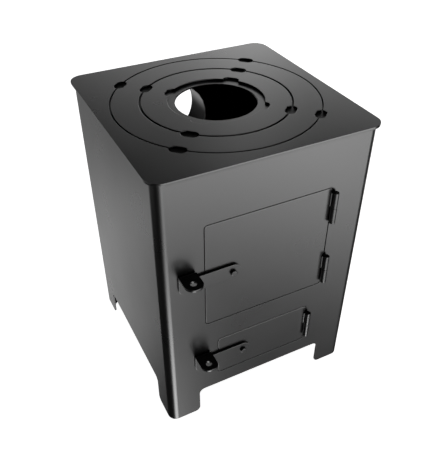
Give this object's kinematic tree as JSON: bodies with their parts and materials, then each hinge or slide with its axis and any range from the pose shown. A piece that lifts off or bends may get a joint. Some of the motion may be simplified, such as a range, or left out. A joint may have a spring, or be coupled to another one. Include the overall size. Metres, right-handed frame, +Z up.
{
  "type": "outdoor wood stove",
  "caption": "Square sheet-steel outdoor cooking stove on cut-out feet, with a ringed hob plate, a firebox door, an ash door, turning latches and a rear flue collar.",
  "frame": {"origin": "on the floor, under the middle of the overall box, which runs from the latch tabs at the front to the end of the flue collar", "axes": "+X to the stove's right seen from the front, +Y from the doors towards the flue collar, +Z up"},
  "size_m": [0.45, 0.5568, 0.61],
  "materials": {
    "body_enamel": "satin black heat-resistant paint on sheet steel",
    "hob_enamel": "satin black heat-resistant paint on steel plate",
    "inner_enamel": "satin black paint, out of the light",
    "fitting_enamel": "satin black paint on steel fittings",
    "bare_steel": "zinc-plated steel",
    "grate_iron": "rough cast iron"
  },
  "bodies": {
    "stove_body": {"body_shell": "body_enamel", "rear_panel": "body_enamel", "foot_plates": "body_enamel", "ash_floor": "inner_enamel", "grate_shelf": "inner_enamel", "hob_plate": "hob_enamel", "hob_ledge": "inner_enamel", "flue_collar": "body_enamel", "firebox_stop_frame": "inner_enamel", "ash_stop_frame": "inner_enamel", "frame_knuckles": "fitting_enamel", "hinge_pins": "bare_steel"},
    "grate": {"grate": "grate_iron"},
    "outer_ring": {"outer_ring": "hob_enamel", "outer_ring_ledge": "inner_enamel"},
    "inner_ring": {"inner_ring": "hob_enamel", "inner_ring_ledge": "inner_enamel"},
    "firebox_door": {"firebox_door": "body_enamel", "firebox_door_knuckles": "fitting_enamel"},
    "ash_door": {"ash_door": "body_enamel", "ash_door_knuckle": "fitting_enamel"},
    "firebox_latch": {"firebox_lever": "fitting_enamel", "firebox_lever_bolt": "fitting_enamel", "firebox_lever_washer": "bare_steel", "firebox_lever_spacer": "bare_steel", "firebox_tongue": "inner_enamel", "firebox_tongue_nut": "bare_steel"},
    "ash_latch": {"ash_lever": "fitting_enamel", "ash_lever_bolt": "fitting_enamel", "ash_lever_washer": "bare_steel", "ash_lever_spacer": "bare_steel", "ash_tongue": "inner_enamel", "ash_tongue_nut": "bare_steel"}
  },
  "joints": [
    {"name": "firebox_door_hinge", "type": "hinge", "parent": "stove_body", "child": "firebox_door", "pos_m": [0.13405, -0.2379, 0.3805], "axis": [0, 0, 1], "range_deg": [0, 160]},
    {"name": "ash_door_hinge", "type": "hinge", "parent": "stove_body", "child": "ash_door", "pos_m": [0.1073, -0.2379, 0.155], "axis": [0, 0, 1], "range_deg": [0, 160]},
    {"name": "firebox_latch_turn", "type": "hinge", "parent": "firebox_door", "child": "firebox_latch", "pos_m": [-0.0775, -0.2316, 0.3805], "axis": [0, -1, 0], "range_deg": [0, 90]},
    {"name": "ash_latch_turn", "type": "hinge", "parent": "ash_door", "child": "ash_latch", "pos_m": [-0.05075, -0.2316, 0.155], "axis": [0, -1, 0], "range_deg": [0, 90]},
    {"name": "outer_ring_lift", "type": "slide", "parent": "stove_body", "child": "outer_ring", "axis": [0, 0, 1], "range_m": [0, 0.12]},
    {"name": "inner_ring_lift", "type": "slide", "parent": "outer_ring", "child": "inner_ring", "axis": [0, 0, 1], "range_m": [0, 0.12]},
    {"name": "grate_lift", "type": "slide", "parent": "stove_body", "child": "grate", "axis": [0, 0, 1], "range_m": [0, 0.1]}
  ]
}
